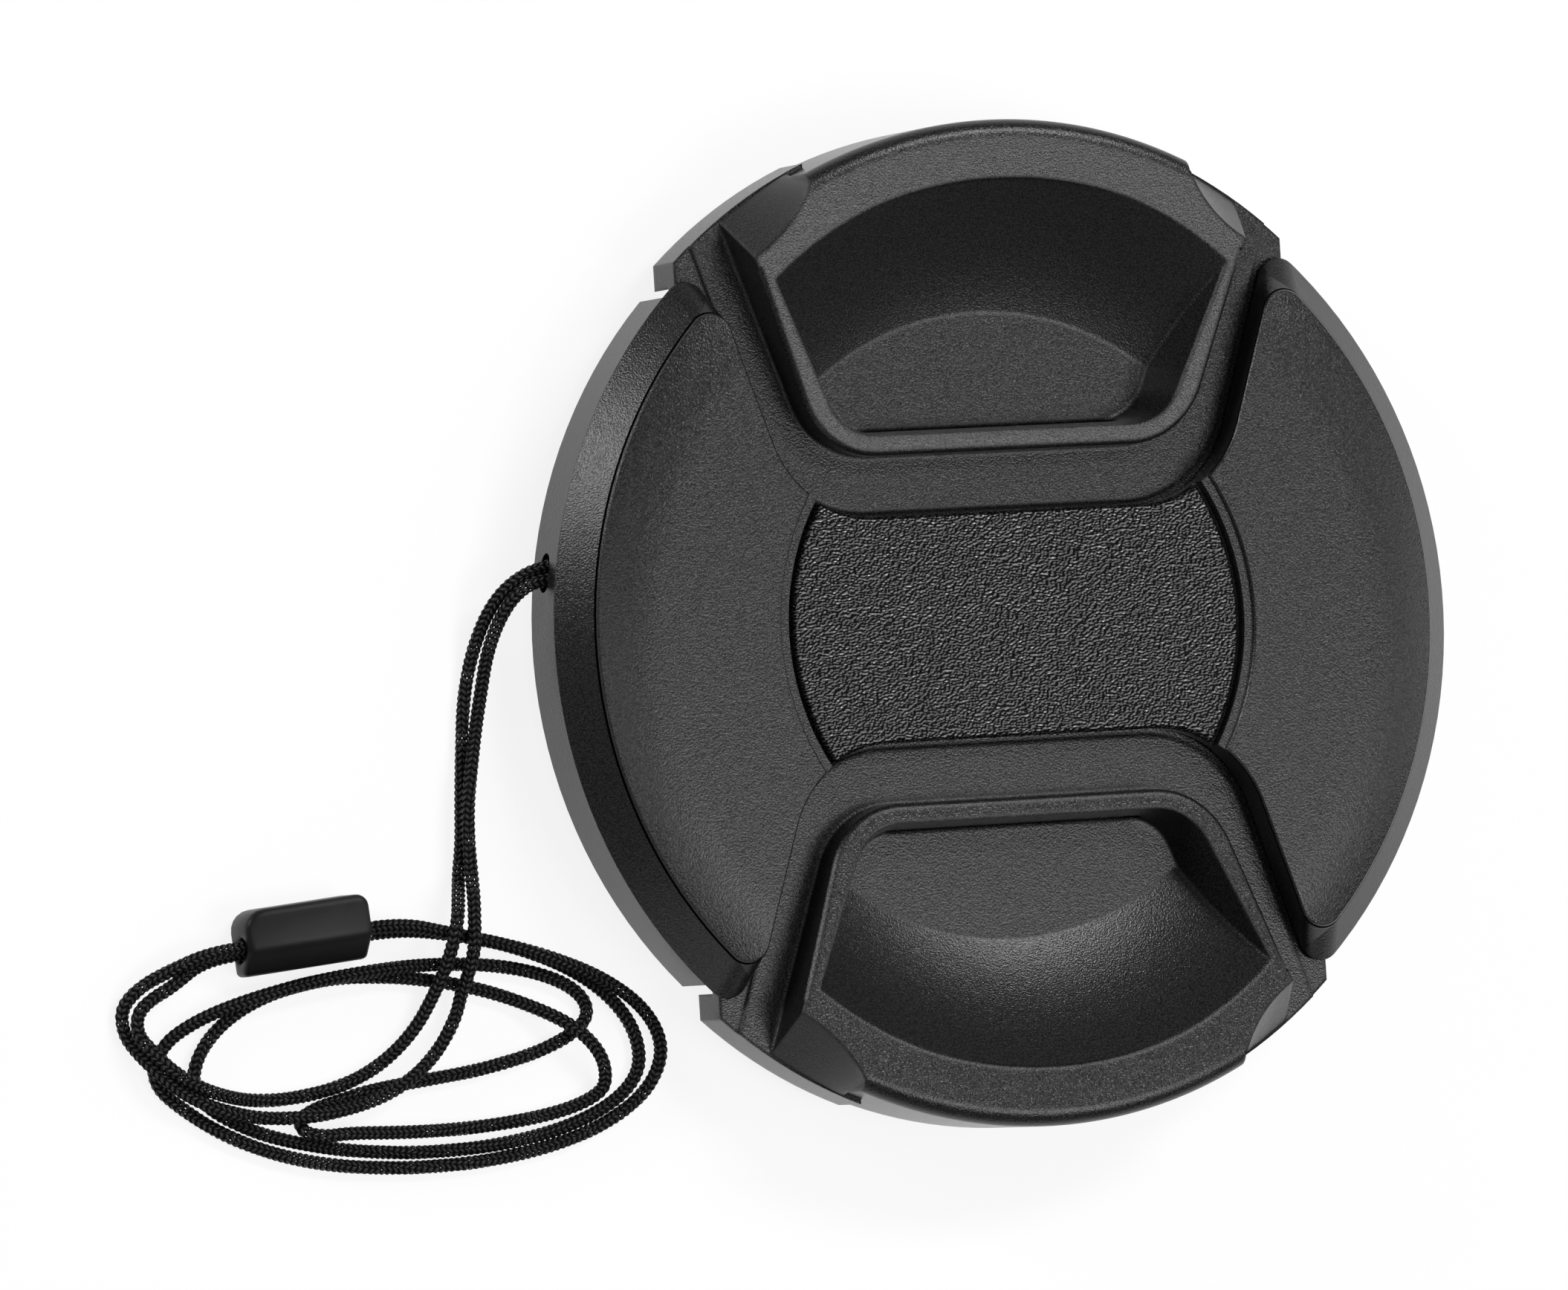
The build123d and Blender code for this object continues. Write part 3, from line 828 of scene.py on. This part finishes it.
bead.data.materials.clear()
bead.data.materials.append(satin_plastic("satin_plastic"))
wire_finish = spring_wire("spring_wire")
for coil in springs:
    coil.data.materials.append(wire_finish)
print("satin bead and steel springs")

# %% [markdown]
# The photograph has a white ground. A white floor lit by lamps alone would need so much light that the
# black plastic would turn grey, so the floor shows white to the camera, and to mirrored rays, by itself
# and keeps a part of the shadow.

# %% Floor and sky
floor_half = 3.0
floor_gap = 0.05 * MM
floor_colour = (0.85, 0.85, 0.85, 1)
white = (1, 1, 1, 1)
glow_share = 0.85
sky_strength = 0.2
bpy.ops.object.select_all(action="DESELECT")
bpy.ops.mesh.primitive_plane_add(size=2 * floor_half, location=(0, 0, -floor_gap))
floor = bpy.context.active_object
floor.name = "studio_floor"
floor_finish = Finish("studio_floor")
camera_rays = floor_finish.node("ShaderNodeLightPath", None, None, "Is Camera Ray")
seen = camera_rays
for ray_name in ("Is Glossy Ray", "Is Transmission Ray"):
    seen = seen.maths("MAXIMUM", seen, camera_rays.beside(ray_name))
matte = floor_finish.node("ShaderNodeBsdfDiffuse", None, {"Color": floor_colour})
glow = floor_finish.node("ShaderNodeEmission", None, {"Color": white, "Strength": 1.0})
floor.data.materials.append(floor_finish.surface(floor_finish.mixed(seen * glow_share, matte, glow)))

world = bpy.data.worlds.new("studio")
world.use_nodes = True
bpy.context.scene.world = world
sky = world.node_tree.nodes["Background"]
sky.inputs["Color"].default_value = white
sky.inputs["Strength"].default_value = sky_strength
print("white floor and soft sky")

# %% [markdown]
# The cap was lit softly, as in a small product studio: wide lamps that black plastic mirrors as broad
# grey sheens, each where a facet happens to face between the lamp and the camera. One big lamp would
# light every facet alike, so there are six, each set for the facets that it has to draw.

# %% Lamps
def lamp(name, place, width, height, power):
    """A soft box that faces the cap, with its width along X."""
    data = bpy.data.lights.new(name, "AREA")
    data.shape = "RECTANGLE"
    data.size = width
    data.size_y = height
    data.energy = power
    back = Vector(place).normalized()
    wide = (Vector((1, 0, 0)) - back * back.x).normalized()
    made = bpy.data.objects.new(name, data)
    made.matrix_world = posed(place, wide, back.cross(wide), back)
    bpy.context.scene.collection.objects.link(made)


lamp("key_light", (0.39, 0.51, 0.77), width=0.40, height=0.18, power=5.6)
lamp("top_light", (0.38, -0.25, 0.89), width=0.40, height=0.34, power=3.8)
lamp("high_light", (-0.16, -0.05, 0.98), width=0.22, height=0.30, power=0.9)
lamp("right_light", (0.89, 0.00, 0.46), width=0.64, height=0.32, power=1.7)
lamp("left_light", (-0.81, 0.53, 0.24), width=0.36, height=0.30, power=4.8)
lamp("front_light", (-0.48, -0.84, 0.25), width=0.50, height=0.30, power=0.6)
bpy.context.scene.view_settings.view_transform = "Standard"
print("six lamps")
